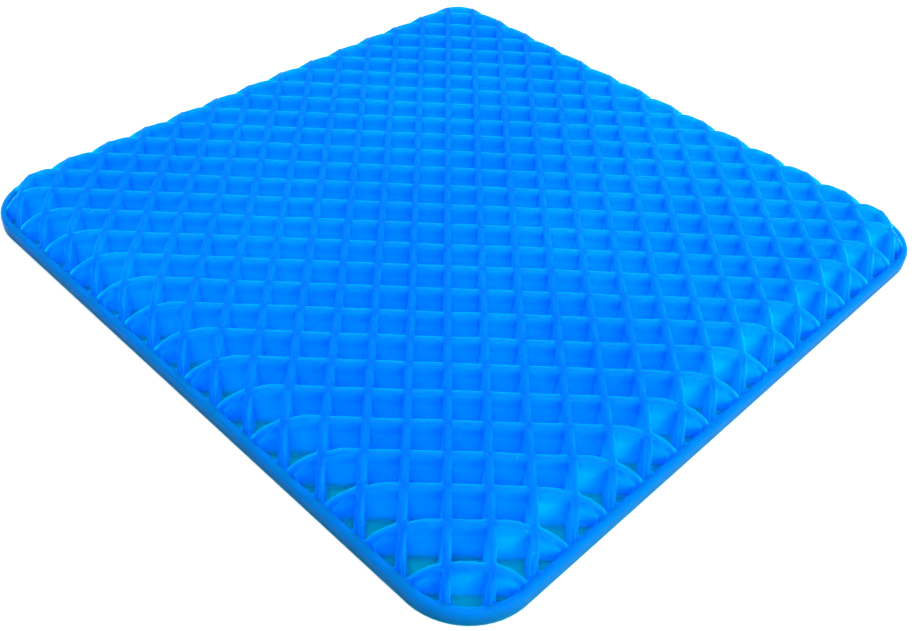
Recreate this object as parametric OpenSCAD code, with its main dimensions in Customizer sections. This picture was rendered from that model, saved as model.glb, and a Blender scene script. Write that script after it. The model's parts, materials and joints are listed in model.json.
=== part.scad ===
// Gel seat cushion: one elastic moulding with an open square cell lattice on a
// flat base sheet, inside a low edge rim. The cells stand at 45 degrees to the
// sides. Origin: centre of the underside. X and Y run along the sides, Z is up.

/* [Cushion] */
// Length of each of the four sides
side = 400; // [360:5:460]
// Overall height, from the underside to the wall tops
height = 25; // [22:0.5:32]
// Radius of the four corners, seen from above
corner_radius = 36; // [32:1:60]
// Thickness of the base sheet under the cells
sheet_thickness = 2; // [1.5:0.5:4]

/* [Edge rim] */
// Height of the rim, from the underside
rim_height = 9; // [6:0.5:12]
// Thickness of the rim
rim_thickness = 4; // [3:0.5:5]

/* [Cells] */
// Distance between the middles of neighbouring walls
pitch = 18.7; // [16:0.1:24]
// Mean thickness of a cell wall
wall_thickness = 4; // [3:0.1:5]
// Distance over which the wall tops round off towards the rim
shoulder_length = 18.7; // [14:0.1:22]
// Fullness of that rounding: 1 is a straight chamfer, 2 is an ellipse
shoulder_fullness = 1.4; // [1.2:0.1:2]

/* [Hidden] */
gel = "#0a84ff";
fine = 96;
shoulder_steps = 8;
overshoot = 1;

inner_side = side - 2 * rim_thickness;
inner_radius = corner_radius - rim_thickness;
cell = pitch - wall_thickness;
reach = ceil(side / pitch);
shoulder_drop = height - rim_height;

// A square with rounded corners, centred on the origin
module rounded_square(size, radius) {
    straight = size - 2 * radius;
    square([size, straight], center = true);
    square([straight, size], center = true);
    for (x = [-1, 1], y = [-1, 1])
        translate([x * straight / 2, y * straight / 2])
            circle(r = radius, $fn = fine);
}

// Half of the cushion's cross-section over the cells, which ends at the rim's
// inner face and starts `run` further in: a flat top and a rounded shoulder
function shoulder_section(run) = concat(
    [[0, sheet_thickness], [run, sheet_thickness]],
    [for (step = [0 : shoulder_steps])
        let (turn = 90 * step / shoulder_steps, power = 2 / shoulder_fullness)
        [run - shoulder_length * (1 - pow(cos(turn), power)),
         rim_height + shoulder_drop * pow(sin(turn), power)]],
    [[0, height]]
);

// The space that the cell walls fill, without the cells
module wall_envelope() {
    straight = inner_side - 2 * inner_radius;
    for (quarter = [0 : 3])
        rotate(90 * quarter) {
            translate([straight / 2, straight / 2])
                rotate_extrude(angle = 90, $fn = fine)
                    polygon(shoulder_section(inner_radius));
            translate([straight / 2, straight / 2])
                rotate([90, 0, 0])
                    linear_extrude(straight)
                        polygon(shoulder_section(inner_radius));
        }
    translate([-straight / 2, -straight / 2, sheet_thickness])
        cube([straight, straight, height - sheet_thickness]);
}

// Plan of all the cells that reach inside the rim
module cell_plan() {
    rotate(45)
        for (row = [-reach : reach], column = [-reach : reach])
            if ((abs(row + column) - 1) * pitch / sqrt(2) < inner_side / 2
                && (abs(row - column) - 1) * pitch / sqrt(2) < inner_side / 2)
                translate([column * pitch, row * pitch])
                    square(cell, center = true);
}

module base_sheet() {
    color(gel)
        linear_extrude(sheet_thickness)
            rounded_square(side, corner_radius);
}

module edge_rim() {
    color(gel)
        translate([0, 0, sheet_thickness])
            linear_extrude(rim_height - sheet_thickness)
                difference() {
                    rounded_square(side, corner_radius);
                    rounded_square(inner_side, inner_radius);
                }
}

module cell_walls() {
    color(gel)
        intersection() {
            wall_envelope();
            linear_extrude(height + overshoot)
                difference() {
                    square(side, center = true);
                    cell_plan();
                }
        }
}

base_sheet();
edge_rim();
cell_walls();
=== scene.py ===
"""Gel seat cushion: the visual model, its stage, its lights and its camera.

The cushion is one moulding, so it is one closed mesh. The mesh is made cell by cell:
each cell is a tile of the wall-top surface with a drafted, filleted pocket sunk in it,
neighbouring tiles share the vertices along the middle of their wall, and a skirt closes
the rim down to the flat underside. Lengths are in metres.
"""

import json
import math

import bmesh
import bpy
from mathutils import Matrix, Vector, noise

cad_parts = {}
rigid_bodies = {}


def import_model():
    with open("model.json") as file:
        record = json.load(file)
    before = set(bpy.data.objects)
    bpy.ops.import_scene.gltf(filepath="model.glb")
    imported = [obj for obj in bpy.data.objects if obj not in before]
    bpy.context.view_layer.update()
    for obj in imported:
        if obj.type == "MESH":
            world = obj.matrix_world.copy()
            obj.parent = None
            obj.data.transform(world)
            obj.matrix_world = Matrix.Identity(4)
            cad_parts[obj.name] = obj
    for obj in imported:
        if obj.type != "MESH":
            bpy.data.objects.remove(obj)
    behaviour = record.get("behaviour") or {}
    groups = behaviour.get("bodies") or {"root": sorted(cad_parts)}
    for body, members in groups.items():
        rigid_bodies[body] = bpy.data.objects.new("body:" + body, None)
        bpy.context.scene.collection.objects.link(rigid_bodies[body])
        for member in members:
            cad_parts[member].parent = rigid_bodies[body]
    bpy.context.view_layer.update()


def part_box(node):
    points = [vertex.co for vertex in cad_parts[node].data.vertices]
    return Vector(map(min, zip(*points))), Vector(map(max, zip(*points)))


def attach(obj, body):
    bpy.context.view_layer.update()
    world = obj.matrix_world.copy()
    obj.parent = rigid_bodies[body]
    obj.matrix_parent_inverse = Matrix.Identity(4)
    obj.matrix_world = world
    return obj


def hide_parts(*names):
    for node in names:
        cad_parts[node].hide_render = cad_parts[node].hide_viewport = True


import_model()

MM = 0.001

# ---------------------------------------------------------------- sizes from the CAD frame
SHEET_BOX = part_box("base_sheet")
RIM_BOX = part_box("edge_rim")
WALL_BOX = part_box("cell_walls")
HALF_SIDE = SHEET_BOX[1][0]
FLOOR_Z = SHEET_BOX[1][2]
RIM_Z = RIM_BOX[1][2]
TOP_Z = WALL_BOX[1][2]
RIM_THICKNESS = HALF_SIDE - WALL_BOX[1][0]

# ---------------------------------------------------------------- sizes of the moulding
CORNER_RADIUS = 36 * MM
PITCH = 18.7 * MM
SHOULDER_LENGTH = 18.7 * MM
SHOULDER_FULLNESS = 1.4
WALL_AT_TOP = 3.8 * MM
TOP_FILLET = 1.55 * MM
DRAFT = math.radians(1.3)
FLOOR_FILLET = 1.6 * MM
POCKET_CORNER = 1.3 * MM
RIM_ROUND = 2.2 * MM
FOOT_ROUND = 0.7 * MM

# ---------------------------------------------------------------- mesh resolution
SHOULDER_STEPS = 12
FIELD_STEPS = 2
CORNER_STEP = math.radians(22.5)
RIM_FACET = math.radians(6)
FILLET_STEPS = 4
SIDE_STEPS = 3
MERGE = 0.002 * MM
BISECTIONS = 40
LEAST_SHARE = 0.01
SHORTEST_SIDE = 0.05 * MM
CLEARANCE = 0.1 * MM
FLAT_FLOOR = 0.4 * MM
CORNER_SHARE = 0.25
NUDGE = 1e-6
SLACK = 1e-9

# ---------------------------------------------------------------- softness of the moulding
WAVE_HEIGHT = 0.35 * MM
WAVE_LENGTH = 34 * MM
SWAY = 0.45 * MM
SWAY_LENGTH = 22 * MM

# ---------------------------------------------------------------- painted light and shade in the gel colour
# Painted light and shade: the gel colour is lifted on wall tops, more down the walls and in the
# pockets, and darkened where walls cross and on walls near the edge.
TOP_PAINTED_LIGHT = 0.5
WALL_PAINTED_LIGHT = 0.8
DEPTH_PAINTED_LIGHT = 0.2
CROSSING_PAINTED_SHADE = 0.2
CROSSING_START = 0.38
EDGE_PAINTED_SHADE = 0.08
EDGE_REACH = 15 * MM
RIM_FADE = 4 * MM

# The directions across the two families of walls, which run at 45 degrees to the sides.
LATTICE = [Vector((math.cos(a), math.sin(a))) for a in (math.pi / 4, 3 * math.pi / 4)]


def depth_inside(point):
    """Distance from a plan point in to the outline, positive inside the cushion."""
    straight = HALF_SIDE - CORNER_RADIUS
    over_x = abs(point[0]) - straight
    over_y = abs(point[1]) - straight
    beyond = math.hypot(max(over_x, 0), max(over_y, 0))
    return CORNER_RADIUS - beyond - min(max(over_x, over_y), 0)


def top_height(point):
    """Height of the wall tops: flat in the middle, a rounded shoulder, then the rim."""
    inward = depth_inside(point) - RIM_THICKNESS
    if inward <= 0:
        return RIM_Z
    left = max(1 - inward / SHOULDER_LENGTH, 0)
    rise = (1 - left**SHOULDER_FULLNESS) ** (1 / SHOULDER_FULLNESS)
    sag = WAVE_HEIGHT * noise.noise(Vector((point[0], point[1], 0)) / WAVE_LENGTH)
    return RIM_Z + (TOP_Z + sag - RIM_Z) * rise


def painted_light_level(point):
    """How much painted light the gel colour gets at a point: 0 in the solid rim, which is painted
    dark as shade, more on the wall tops, more again on the walls below their tops and 1 at the
    floor of a cell, painted light that lifts the shade in the pockets. Where walls cross and near
    the edge it is painted darker as shade."""
    inward = depth_inside(point) - RIM_THICKNESS
    away_from_rim = max(0.0, min(1.0, inward / RIM_FADE))
    below_top = max(0.0, top_height(point) - point[2]) if inward > 0 else 0.0
    across = [abs((Vector(point[:2]).dot(axis) / PITCH) % 1.0 - 0.5) for axis in LATTICE]
    at_crossing = max(0.0, min(across) - CROSSING_START) / (0.5 - CROSSING_START)
    on_wall = min(1.0, below_top / (2 * TOP_FILLET))
    deep = min(1.0, below_top / (TOP_Z - FLOOR_Z))
    near_edge = max(0.0, 1 - inward / EDGE_REACH)
    # Painted shade on the rim and where walls cross, painted light down the walls and in the
    # pockets, painted shade on walls near the edge.
    top = away_from_rim * (TOP_PAINTED_LIGHT - CROSSING_PAINTED_SHADE * at_crossing * (1 - on_wall))
    wall = WALL_PAINTED_LIGHT - EDGE_PAINTED_SHADE * near_edge
    return top + (wall - top) * on_wall + DEPTH_PAINTED_LIGHT * deep


# ---------------------------------------------------------------- convex plan outlines
# A convex outline is a list of (normal, offset) sides in anticlockwise order: a point p is
# inside when normal . p <= offset.


def outline_sides(inset):
    """The rounded square outline, inset, as straight facets."""
    straight = HALF_SIDE - CORNER_RADIUS
    radius = CORNER_RADIUS - inset
    steps = round(math.pi / 2 / RIM_FACET)
    sides = []
    for quarter in range(4):
        for step in range(steps):
            angle = quarter * math.pi / 2 + step * RIM_FACET
            normal = Vector((math.cos(angle), math.sin(angle)))
            inside = angle + NUDGE
            centre_x = math.copysign(straight, math.cos(inside))
            centre_y = math.copysign(straight, math.sin(inside))
            centre = Vector((centre_x, centre_y))
            sides.append((normal, normal.dot(centre) + radius))
    return sides


def cell_sides(centre, half):
    """The four sides of a square cell around a centre."""
    normals = [LATTICE[0], LATTICE[1], -LATTICE[0], -LATTICE[1]]
    return [(normal, normal.dot(centre) + half) for normal in normals]


def meet(side_a, side_b, inset=0.0):
    """The point where two sides meet once both are moved in by inset."""
    (na, ca), (nb, cb) = side_a, side_b
    ca -= inset
    cb -= inset
    cross = na.x * nb.y - na.y * nb.x
    return Vector(((ca * nb.y - cb * na.y) / cross, (na.x * cb - nb.x * ca) / cross))


def clipped(cell, cutters):
    """The sides that bound the overlap of a cell and an outline, and its corner points.
    Corner k is where side k - 1 meets side k."""
    sides = list(cell)
    points = [meet(sides[k - 1], sides[k]) for k in range(len(sides))]
    for cutter in cutters:
        normal, offset = cutter
        out = [normal.dot(p) - offset for p in points]
        if max(out) <= SLACK:
            continue
        if min(out) >= -SLACK:
            return [], []
        new_sides = []
        new_points = []
        count = len(points)
        for k in range(count):
            here, there = points[k], points[(k + 1) % count]
            out_here, out_there = out[k], out[(k + 1) % count]
            if out_here <= 0:
                new_sides.append(sides[k])
                new_points.append(here)
                if out_there > 0:
                    new_sides.append(cutter)
                    new_points.append(here.lerp(there, out_here / (out_here - out_there)))
            elif out_there <= 0:
                new_sides.append(sides[k])
                new_points.append(here.lerp(there, out_here / (out_here - out_there)))
        sides, points = new_sides, new_points
    return sides, points


def inset_corners(sides, inset):
    """Corner points of the sides moved in by inset."""
    return [meet(sides[k - 1], sides[k], inset) for k in range(len(sides))]


def sides_that_last(sides, inset):
    """The sides that still have a length once they are moved in by inset."""
    sides = list(sides)
    while len(sides) >= 3:
        turns = [
            sides[k - 1][0].x * sides[k][0].y - sides[k - 1][0].y * sides[k][0].x
            for k in range(len(sides))
        ]
        if min(turns) <= 0:
            return []
        points = inset_corners(sides, inset)
        lengths = []
        for k, (normal, _) in enumerate(sides):
            along = Vector((-normal.y, normal.x))
            lengths.append(along.dot(points[(k + 1) % len(sides)] - points[k]))
        shortest = min(range(len(sides)), key=lengths.__getitem__)
        if lengths[shortest] > SHORTEST_SIDE:
            return sides
        del sides[shortest]
    return []


def rounded_ring(sides, inset, radius, steps_per_metre):
    """Points around the sides moved in by inset, with rounded corners. The same sides give
    the same number of points at any inset, so two rings can be joined point to point."""
    centres = inset_corners(sides, inset + radius)
    mouth = inset_corners(sides, 0.0)
    ring = []
    for k, centre in enumerate(centres):
        before, after = sides[k - 1][0], sides[k][0]
        start = math.atan2(before.y, before.x)
        turn = (math.atan2(after.y, after.x) - start) % (2 * math.pi)
        steps = max(1, round(turn / CORNER_STEP))
        for step in range(steps + 1):
            angle = start + turn * step / steps
            ring.append(centre + radius * Vector((math.cos(angle), math.sin(angle))))
        following = (k + 1) % len(sides)
        end = centres[following] + radius * after
        straight_steps = max(1, round((mouth[following] - mouth[k]).length * steps_per_metre))
        begin = ring[-1]
        for step in range(1, straight_steps):
            ring.append(begin.lerp(end, step / straight_steps))
    return ring


# ---------------------------------------------------------------- one tile of the lattice
class Moulding:
    """Vertices and faces of the gel body while it is being built."""

    def __init__(self):
        self.vertices = []
        self.faces = []
        self.known = {}

    def vertex(self, x, y, z):
        """The number of the vertex at a place, which is added if it is new."""
        key = (round(x / MERGE), round(y / MERGE), round(z / MERGE))
        if key not in self.known:
            self.known[key] = len(self.vertices)
            self.vertices.append((x, y, z))
        return self.known[key]

    def face(self, *corners):
        """Add a face, unless too few of its corners differ."""
        loop = [c for k, c in enumerate(corners) if c != corners[k - 1]]
        if len(loop) >= 3:
            self.faces.append(loop)

    def join_rings(self, outer, inner):
        """Quads between two rings with the same number of points, seen from above."""
        count = len(outer)
        for k in range(count):
            following = (k + 1) % count
            self.face(outer[k], outer[following], inner[following], inner[k])


# Depths from the outline at which a wall top needs its own points: three at the steep foot
# of the shoulder and one where it meets the flat field.
SPLIT_DEPTHS = [RIM_THICKNESS + inward for inward in (0, 0.25 * MM, 0.8 * MM, SHOULDER_LENGTH)]


def share_at_depth(low, high, depth):
    """How far along from low to high the depth inside the outline is reached, if it is."""
    begin = 0.0
    end = 1.0
    before = depth_inside(low) - depth
    if before * (depth_inside(high) - depth) >= 0:
        return None
    for _ in range(BISECTIONS):
        middle = (begin + end) / 2
        if (depth_inside(low.lerp(high, middle)) - depth) * before > 0:
            begin = middle
        else:
            end = middle
    return (begin + end) / 2


def edge_points(start, end):
    """Points from start up to end along one edge of a tile, end left out. Both tiles that
    share the edge get the same points."""
    flip = (round(start.x / MERGE), round(start.y / MERGE)) > (
        round(end.x / MERGE),
        round(end.y / MERGE),
    )
    low, high = (end, start) if flip else (start, end)
    deep = min(depth_inside(low), depth_inside(high))
    in_field = deep > RIM_THICKNESS + SHOULDER_LENGTH
    full = FIELD_STEPS if in_field else SHOULDER_STEPS
    steps = max(1, round((high - low).length / PITCH * full))
    cuts = {step / steps for step in range(steps + 1)}
    if not in_field:
        crossings = [share_at_depth(low, high, depth) for depth in SPLIT_DEPTHS]
        cuts.update(share for share in crossings if share is not None)
    ordered = sorted(cuts)
    spaced = [ordered[0]]
    for cut in ordered[1:-1]:
        if cut - spaced[-1] > LEAST_SHARE and 1 - cut > LEAST_SHARE:
            spaced.append(cut)
    spaced.append(1.0)
    points = [low.lerp(high, cut) for cut in spaced]
    if flip:
        points.reverse()
    return points[:-1]


def tile_outline(points):
    """All the points around a tile."""
    outline = []
    for k, start in enumerate(points):
        outline.extend(edge_points(start, points[(k + 1) % len(points)]))
    return outline


def pocket_profile(room):
    """The two rounds of a pocket: (inset, drop) steps over the lip at its mouth, and
    (inset, height) steps down the fillet at its floor, which is no wider than room."""
    lip = []
    for step in range(FILLET_STEPS + 1):
        angle = math.pi / 2 * step / FILLET_STEPS
        lip.append((TOP_FILLET * math.sin(angle), TOP_FILLET * (1 - math.cos(angle))))
    fillet = min(FLOOR_FILLET, room)
    foot = []
    for step in range(FILLET_STEPS + 1):
        angle = math.pi / 2 * step / FILLET_STEPS
        foot.append((fillet * (1 - math.cos(angle)), fillet * (1 - math.sin(angle))))
    return lip, foot


def inner_radius(points):
    """Roughly the radius of the largest circle inside a small convex outline."""
    area = 0.0
    around = 0.0
    for k, here in enumerate(points):
        there = points[(k + 1) % len(points)]
        area += (here.x * there.y - there.x * here.y) / 2
        around += (there - here).length
    return 2 * area / around if around else 0.0


def pulled_inside(point, middle, sides, inset):
    """The point, drawn towards the middle until it is inside the sides moved in by inset."""
    for normal, offset in sides:
        reach = offset - inset - normal.dot(middle)
        over = normal.dot(point) - (offset - inset)
        if over > 0 and reach > 0:
            point = middle + (point - middle) * (reach / (reach + over))
    return point


def pocket_rings(moulding, sides, points):
    """Sink a pocket in a tile. Returns its mouth ring as plan points and vertices, or
    nothing where the tile is too small for a pocket."""
    mouth_radius = inner_radius(points)
    draft_total = math.tan(DRAFT) * (TOP_Z - FLOOR_Z)
    radius = min(POCKET_CORNER, CORNER_SHARE * mouth_radius)
    room = mouth_radius - TOP_FILLET - draft_total - radius - FLAT_FLOOR
    if room < CLEARANCE:
        return None
    lip, foot = pocket_profile(room)
    deepest = TOP_FILLET + draft_total + foot[-1][0]
    lasting = sides_that_last(sides, deepest + radius + CLEARANCE)
    if not lasting:
        return None
    dropped = [side for side in sides if side not in lasting]
    in_field = min(depth_inside(p) for p in points) > RIM_THICKNESS + SHOULDER_LENGTH
    density = (FIELD_STEPS if in_field else SHOULDER_STEPS) / PITCH
    middle = sum(points, Vector((0, 0))) / len(points)

    def ring_plan(inset):
        plan = rounded_ring(lasting, inset, radius, density)
        return [pulled_inside(p, middle, dropped, inset) for p in plan]

    mouth = ring_plan(0.0)
    heights = [top_height(p) for p in mouth]
    rings = []

    def add_ring(inset, level):
        rings.append([moulding.vertex(p.x, p.y, z) for p, z in zip(ring_plan(inset), level)])

    for inset, drop in lip:
        add_ring(inset, [z - drop for z in heights])
    foot_height = FLOOR_Z + foot[0][1]
    for step in range(1, SIDE_STEPS + 1):
        share = step / SIDE_STEPS
        level = [(z - TOP_FILLET) * (1 - share) + foot_height * share for z in heights]
        add_ring(TOP_FILLET + draft_total * share, level)
    for inset, height in foot[1:]:
        add_ring(TOP_FILLET + draft_total + inset, [FLOOR_Z + height] * len(mouth))
    for outer, inner in zip(rings, rings[1:]):
        moulding.join_rings(outer, inner)
    moulding.face(*rings[-1])
    return mouth, rings[0]


def close_band(moulding, outer, outer_ids, inner, inner_ids, middle):
    """Triangles between two rings around a middle point. Whichever ring is behind in angle
    takes the next step."""

    def turned(points):
        """The order of the points by angle, and their angles in that order."""
        angles = [math.atan2(p.y - middle.y, p.x - middle.x) for p in points]
        first = min(range(len(angles)), key=angles.__getitem__)
        order = [(first + k) % len(angles) for k in range(len(angles))]
        return order, [angles[k] for k in order]

    out_order, out_angle = turned(outer)
    in_order, in_angle = turned(inner)
    out_angle.append(out_angle[0] + 2 * math.pi)
    in_angle.append(in_angle[0] + 2 * math.pi)
    i = j = 0
    while i < len(out_order) or j < len(in_order):
        out_now = outer_ids[out_order[i % len(out_order)]]
        in_now = inner_ids[in_order[j % len(in_order)]]
        step_out = j >= len(in_order) or (
            i < len(out_order) and out_angle[i + 1] + out_angle[i] < in_angle[j + 1] + in_angle[j]
        )
        if step_out:
            i += 1
            moulding.face(out_now, outer_ids[out_order[i % len(out_order)]], in_now)
        else:
            j += 1
            moulding.face(out_now, inner_ids[in_order[j % len(in_order)]], in_now)


def add_tile(moulding, centre, rim_sides, edge_sides):
    """One cell's share of the lattice: half of each of its walls, and its pocket."""
    _, corners = clipped(cell_sides(centre, PITCH / 2), edge_sides)
    if not corners:
        return
    outline = tile_outline(corners)
    outline_ids = [moulding.vertex(p.x, p.y, top_height(p)) for p in outline]
    half_mouth = (PITCH - WALL_AT_TOP) / 2 + TOP_FILLET
    sides, points = clipped(cell_sides(centre, half_mouth), rim_sides)
    pocket = pocket_rings(moulding, sides, points) if sides else None
    if pocket:
        mouth, mouth_ids = pocket
        middle = sum(mouth, Vector((0, 0))) / len(mouth)
        close_band(moulding, outline, outline_ids, mouth, mouth_ids, middle)
        return
    middle = sum(outline, Vector((0, 0))) / len(outline)
    middle_id = moulding.vertex(middle.x, middle.y, top_height(middle))
    for k, here in enumerate(outline_ids):
        moulding.face(here, outline_ids[(k + 1) % len(outline_ids)], middle_id)


def add_skirt(moulding):
    """Close the open edge of the tiles: over the rim, down its side and under."""
    edges = []
    for loop in moulding.faces:
        edges.extend(zip(loop, loop[1:] + loop[:1]))
    known_edges = set(edges)
    onward = {here: there for here, there in edges if (there, here) not in known_edges}
    start = next(iter(onward))
    ring = [start]
    while onward[ring[-1]] != start:
        ring.append(onward[ring[-1]])

    straight = HALF_SIDE - CORNER_RADIUS
    plan = []
    for index in ring:
        x, y, _ = moulding.vertices[index]
        corner = Vector((max(-straight, min(straight, x)), max(-straight, min(straight, y))))
        outward = Vector((x, y)) - corner
        if outward.length < RIM_ROUND:
            outward = Vector((x, 0)) if abs(x) > abs(y) else Vector((0, y))
        plan.append((Vector((x, y)), outward.normalized()))

    profile = []
    for step in range(1, FILLET_STEPS + 2):
        angle = math.pi / 2 * step / (FILLET_STEPS + 1)
        profile.append((RIM_ROUND * math.sin(angle), RIM_Z - RIM_ROUND * (1 - math.cos(angle))))
    for step in range(1, SIDE_STEPS + 1):
        share = step / SIDE_STEPS
        height = (RIM_Z - RIM_ROUND) * (1 - share) + FOOT_ROUND * share
        profile.append((RIM_ROUND, height))
    for step in range(1, FILLET_STEPS + 1):
        angle = math.pi / 2 * step / FILLET_STEPS
        inset = FOOT_ROUND * (1 - math.cos(angle))
        profile.append((RIM_ROUND - inset, FOOT_ROUND * (1 - math.sin(angle))))

    previous = ring
    for out, height in profile:
        current = [moulding.vertex(*(p + n * out), height) for p, n in plan]
        moulding.join_rings(current, previous)
        previous = current
    moulding.face(*reversed(previous))


def swayed(point):
    """A moulded point shifted sideways a little, as soft walls never stand quite true. The
    rim and the underside stay put."""
    free = max(0.0, min(1.0, (depth_inside(point) - RIM_THICKNESS) / SHOULDER_LENGTH))
    reach = SWAY * free * max(0.0, point[2] - FLOOR_Z) / (TOP_Z - FLOOR_Z)
    drift = noise.noise_vector(Vector((point[0], point[1], 0)) / SWAY_LENGTH)
    return (point[0] + reach * drift.x, point[1] + reach * drift.y, point[2])


def build_gel_body():
    """The whole moulding as one closed mesh object."""
    moulding = Moulding()
    edge_sides = outline_sides(RIM_ROUND)
    rim_sides = outline_sides(RIM_THICKNESS - TOP_FILLET)
    reach = math.ceil(2 * HALF_SIDE / PITCH) + 1
    limit = HALF_SIDE + PITCH
    for row in range(-reach, reach + 1):
        for column in range(-reach, reach + 1):
            centre = LATTICE[0] * (column * PITCH) + LATTICE[1] * (row * PITCH)
            if max(abs(centre.x), abs(centre.y)) < limit:
                add_tile(moulding, centre, rim_sides, edge_sides)
    add_skirt(moulding)
    mesh = bpy.data.meshes.new("gel_body")
    mesh.from_pydata(moulding.vertices, [], moulding.faces)
    body = bmesh.new()
    body.from_mesh(mesh)
    bmesh.ops.remove_doubles(body, verts=body.verts, dist=2 * MERGE)
    bmesh.ops.recalc_face_normals(body, faces=body.faces)
    open_edges = sum(1 for edge in body.edges if not edge.is_manifold)
    body.to_mesh(mesh)
    body.free()
    print("gel body:", len(mesh.vertices), "vertices,", open_edges, "open edges")
    mesh.shade_smooth()
    # The painted light and shade level of the gel colour, worked out before the walls sway.
    painted_light_attribute = mesh.attributes.new("painted_light_level", "FLOAT", "POINT")
    painted_light_attribute.data.foreach_set("value", [painted_light_level(v.co) for v in mesh.vertices])
    for vertex in mesh.vertices:
        vertex.co = swayed(vertex.co)
    piece = bpy.data.objects.new("gel_body", mesh)
    bpy.context.collection.objects.link(piece)
    piece.modifiers.new("face_weighted_normals", "WEIGHTED_NORMAL")
    return piece


# ---------------------------------------------------------------- materials
GEL_IOR = 1.4
GEL_SPECULAR = 0.01
GEL_DEPTH = 35 * MM
GEL_REACH = (0.01, 0.6, 1.0)

# Colour of the gel with painted light and shade, from the rim, painted dark as shade, to the cell
# floors, painted light.
GEL_TINTS_PAINTED_LIGHT = (
    (0.07, (0.0, 0.092, 0.29, 1)),
    (0.5, (0.0, 0.087, 0.8, 1)),
    (0.76, (0.0, 0.235, 0.98, 1)),
    (0.86, (0.0, 0.385, 1.0, 1)),
    (0.95, (0.0, 0.34, 1.0, 1)),
)

# Each noise is a scale and a detail. Scales count repeats in a metre.
CLOUD_NOISE = (9.0, 3.0)
CLOUD_SHARE = 0.15
BUBBLE_TINT = (0.01, 0.32, 1.0, 1)
BUBBLE_SCALE = 300.0
BUBBLE_EDGE = (0.1, 0.2)
BUBBLE_STRENGTH = 0.4
FLURRY_NOISE = (38.0, 2.0)
FLURRY_EDGE = (0.6, 0.68)
SKIN_NOISE = (700.0, 4.0)
SKIN_ROUGHNESS = (0.3, 0.45)
SKIN_STRENGTH = 0.25
SKIN_GRAIN = 0.05 * MM


class Graph:
    """Short ways to add and wire nodes in one material or world."""

    def __init__(self, owner):
        owner.use_nodes = True
        self.nodes = owner.node_tree.nodes
        self.links = owner.node_tree.links

    def link(self, source, target):
        self.links.new(source, target)

    def noise(self, where, kind):
        """A noise of a (scale, detail) kind, as its factor output."""
        node = self.nodes.new("ShaderNodeTexNoise")
        node.inputs["Scale"].default_value = kind[0]
        node.inputs["Detail"].default_value = kind[1]
        self.link(where, node.inputs["Vector"])
        return node.outputs["Fac"]

    def spread(self, value, from_range, to_range):
        """The value carried from one range to another, held at the ends."""
        node = self.nodes.new("ShaderNodeMapRange")
        node.inputs["From Min"].default_value = from_range[0]
        node.inputs["From Max"].default_value = from_range[1]
        node.inputs["To Min"].default_value = to_range[0]
        node.inputs["To Max"].default_value = to_range[1]
        self.link(value, node.inputs["Value"])
        return node.outputs["Result"]

    def scaled(self, value, factor, extra=0.0):
        """value * factor + extra, where factor and extra are numbers or outputs."""
        node = self.nodes.new("ShaderNodeMath")
        node.operation = "MULTIPLY_ADD"
        self.link(value, node.inputs[0])
        for socket, term in ((node.inputs[1], factor), (node.inputs[2], extra)):
            if isinstance(term, (int, float)):
                socket.default_value = term
            else:
                self.link(term, socket)
        return node.outputs["Value"]


def gel_tint_with_painted_light(graph, where):
    """Azure gel colour with painted light and shade: deep blue painted shade in the thick rim,
    azure on the walls, paler painted light down the walls and in the pockets, with a slow cloudy
    drift."""
    # The painted light and shade level read from the mesh.
    painted_light_attribute = graph.nodes.new("ShaderNodeAttribute")
    painted_light_attribute.attribute_name = "painted_light_level"
    cloud = graph.noise(where, CLOUD_NOISE)
    drift = graph.scaled(cloud, CLOUD_SHARE)
    shade = graph.scaled(painted_light_attribute.outputs["Fac"], 1 - CLOUD_SHARE, drift)
    ramp = graph.nodes.new("ShaderNodeValToRGB")
    stops = ramp.color_ramp.elements
    stops[0].position, stops[0].color = GEL_TINTS_PAINTED_LIGHT[0]
    stops[1].position, stops[1].color = GEL_TINTS_PAINTED_LIGHT[-1]
    for position, colour in GEL_TINTS_PAINTED_LIGHT[1:-1]:
        stops.new(position).color = colour
    graph.link(shade, ramp.inputs["Fac"])
    return ramp.outputs["Color"]


def with_bubbles(graph, where, tint):
    """The tint with faint flurries of fine bubbles."""
    cells = graph.nodes.new("ShaderNodeTexVoronoi")
    cells.inputs["Scale"].default_value = BUBBLE_SCALE
    graph.link(where, cells.inputs["Vector"])
    spots = graph.spread(cells.outputs["Distance"], BUBBLE_EDGE, (BUBBLE_STRENGTH, 0.0))
    flurry = graph.spread(graph.noise(where, FLURRY_NOISE), FLURRY_EDGE, (0.0, 1.0))
    mix = graph.nodes.new("ShaderNodeMix")
    mix.data_type = "RGBA"
    mix.inputs["B"].default_value = BUBBLE_TINT
    graph.link(graph.scaled(spots, flurry), mix.inputs["Factor"])
    graph.link(tint, mix.inputs["A"])
    return mix.outputs["Result"]


def add_skin(graph, where, shader):
    """A satin skin: the roughness and a very fine grain follow one noise."""
    grain = graph.noise(where, SKIN_NOISE)
    graph.link(graph.spread(grain, (0.0, 1.0), SKIN_ROUGHNESS), shader.inputs["Roughness"])
    bump = graph.nodes.new("ShaderNodeBump")
    bump.inputs["Strength"].default_value = SKIN_STRENGTH
    bump.inputs["Distance"].default_value = SKIN_GRAIN
    graph.link(grain, bump.inputs["Height"])
    graph.link(bump.outputs["Normal"], shader.inputs["Normal"])


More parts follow.
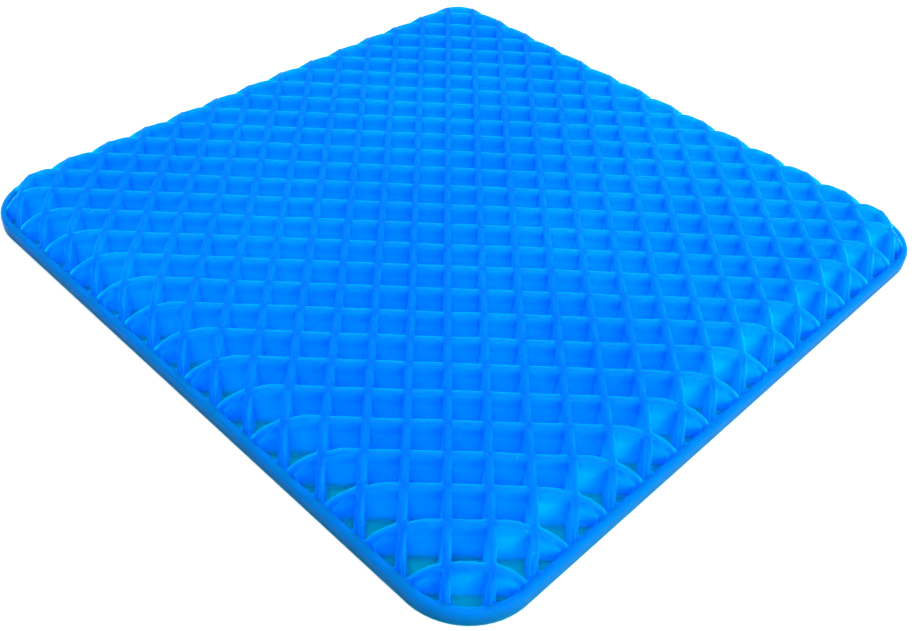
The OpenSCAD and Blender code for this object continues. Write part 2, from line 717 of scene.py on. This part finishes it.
def gel_material():
    """Translucent azure gel with painted light and shade by depth, a soft cloudy colour drift,
    fine bubbles and a satin skin.
    """
    material = bpy.data.materials.new("azure_gel")
    graph = Graph(material)
    shader = graph.nodes["Principled BSDF"]
    shader.inputs["Subsurface Weight"].default_value = 1.0
    shader.inputs["Subsurface Radius"].default_value = GEL_REACH
    shader.inputs["Subsurface Scale"].default_value = GEL_DEPTH
    shader.inputs["IOR"].default_value = GEL_IOR
    shader.inputs["Specular IOR Level"].default_value = GEL_SPECULAR
    where = graph.nodes.new("ShaderNodeTexCoord").outputs["Object"]
    tint = with_bubbles(graph, where, gel_tint_with_painted_light(graph, where))
    graph.link(tint, shader.inputs["Base Color"])
    add_skin(graph, where, shader)
    return material


def floor_material():
    """Matt pale grey for the stage."""
    material = bpy.data.materials.new("pale_floor")
    shader = Graph(material).nodes["Principled BSDF"]
    shader.inputs["Base Color"].default_value = (FLOOR_GREY, FLOOR_GREY, FLOOR_GREY, 1)
    shader.inputs["Roughness"].default_value = FLOOR_ROUGHNESS
    shader.inputs["Specular IOR Level"].default_value = FLOOR_SPECULAR
    return material


# ---------------------------------------------------------------- stage, lights, camera
FLOOR_HALF_SIDE = 4.0
FLOOR_GAP = 0.2 * MM
FLOOR_GREY = 0.72
FLOOR_ROUGHNESS = 0.9
FLOOR_SPECULAR = 0.1

# The dome is brightest around one direction. Its strength goes from the first value to the
# second as the cosine of the angle to that direction goes over the edge.
SKY_LEAN = (0.04, 0.18, 1.0)
SKY_EDGE = (0.35, 0.8)
SKY_STRENGTH = (0.1, 2.32)

# Place, size and power of each area light. All of them face the middle of the cushion.
AREA_LIGHTS = {
    "low_key": ((0.05, -1.6, 0.53), 1.1, 30),
    "front_fill": ((-0.59, -0.53, 1.5), 0.8, 13),
}

CAMERA_AZIMUTH = math.radians(-48.2)
CAMERA_ELEVATION = math.radians(41.7)
CAMERA_ROLL = math.radians(4.3)
CAMERA_DISTANCE = 0.541
CAMERA_AIM = (-0.0769, -0.0709, TOP_Z)
CAMERA_LENS = 41.8
CAMERA_SENSOR = 36.0


def add_stage():
    """A large plain pale floor just under the cushion."""
    half = FLOOR_HALF_SIDE
    mesh = bpy.data.meshes.new("floor")
    corners = [(-half, -half), (half, -half), (half, half), (-half, half)]
    mesh.from_pydata([(x, y, -FLOOR_GAP) for x, y in corners], [], [(0, 1, 2, 3)])
    floor = bpy.data.objects.new("floor", mesh)
    floor.data.materials.append(floor_material())
    bpy.context.collection.objects.link(floor)


def add_area_light(name, place, size, power):
    """A square soft light at a place, turned to the middle of the cushion."""
    data = bpy.data.lights.new(name, "AREA")
    data.size = size
    data.energy = power
    light = bpy.data.objects.new(name, data)
    light.location = place
    light.rotation_euler = (-Vector(place)).to_track_quat("-Z", "Y").to_euler()
    bpy.context.collection.objects.link(light)


def add_sky():
    """A dome of light, brightest overhead and leaning a little to the back."""
    world = bpy.data.worlds.new("studio")
    bpy.context.scene.world = world
    graph = Graph(world)
    background = graph.nodes["Background"]
    background.inputs["Color"].default_value = (1, 1, 1, 1)
    towards = graph.nodes.new("ShaderNodeVectorMath")
    towards.operation = "DOT_PRODUCT"
    towards.inputs[1].default_value = Vector(SKY_LEAN).normalized()
    direction = graph.nodes.new("ShaderNodeTexCoord").outputs["Generated"]
    graph.link(direction, towards.inputs[0])
    dome = graph.spread(towards.outputs["Value"], SKY_EDGE, SKY_STRENGTH)
    dome.node.interpolation_type = "SMOOTHSTEP"
    graph.link(dome, background.inputs["Strength"])


def add_lights():
    """The dome, a low key light from the -y side and a high fill from the near corner."""
    add_sky()
    for name, (place, size, power) in AREA_LIGHTS.items():
        add_area_light(name, place, size, power)


def add_camera():
    """The camera looks from over the near corner, with a slight roll."""
    level = math.cos(CAMERA_ELEVATION)
    towards = Vector((
        math.sin(CAMERA_AZIMUTH) * level,
        -math.cos(CAMERA_AZIMUTH) * level,
        math.sin(CAMERA_ELEVATION),
    ))
    data = bpy.data.cameras.new("camera")
    data.sensor_width = CAMERA_SENSOR
    data.lens = CAMERA_LENS
    camera = bpy.data.objects.new("camera", data)
    turn = (-towards).to_track_quat("-Z", "Y").to_matrix().to_4x4()
    place = Matrix.Translation(Vector(CAMERA_AIM) + towards * CAMERA_DISTANCE)
    camera.matrix_world = place @ turn @ Matrix.Rotation(CAMERA_ROLL, 4, "Z")
    bpy.context.collection.objects.link(camera)
    bpy.context.scene.camera = camera


# ---------------------------------------------------------------- the scene
bpy.context.scene.view_settings.view_transform = "Standard"
add_camera()
add_lights()
add_stage()

gel_body = build_gel_body()
gel_body.data.materials.append(gel_material())
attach(gel_body, "root")
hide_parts("base_sheet", "edge_rim", "cell_walls")
